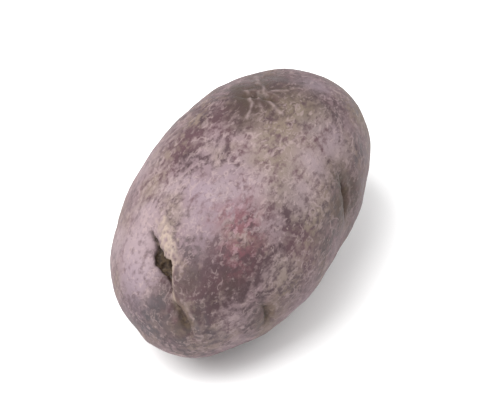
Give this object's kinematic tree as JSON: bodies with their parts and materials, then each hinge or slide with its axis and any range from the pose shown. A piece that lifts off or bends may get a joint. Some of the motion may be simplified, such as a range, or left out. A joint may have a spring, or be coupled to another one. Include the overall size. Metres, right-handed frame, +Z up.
{
  "type": "purple potato",
  "caption": "Whole oblong purple potato with netted, dusky mauve skin, arched eyes and a heel scar, lying on its flatter side.",
  "frame": {"origin": "on the surface the potato lies on, under the middle of its box", "axes": "+X from the rose end, where the eyes crowd, to the heel end, where it hung on the plant; +Z up"},
  "size_m": [0.0828, 0.0484, 0.0436],
  "materials": {
    "skin": "dry, matt potato skin: dusky mauve and plum, finely netted and speckled with tan cork, darker in the eyes"
  },
  "bodies": {
    "root": {"potato": "skin"}
  },
  "joints": []
}
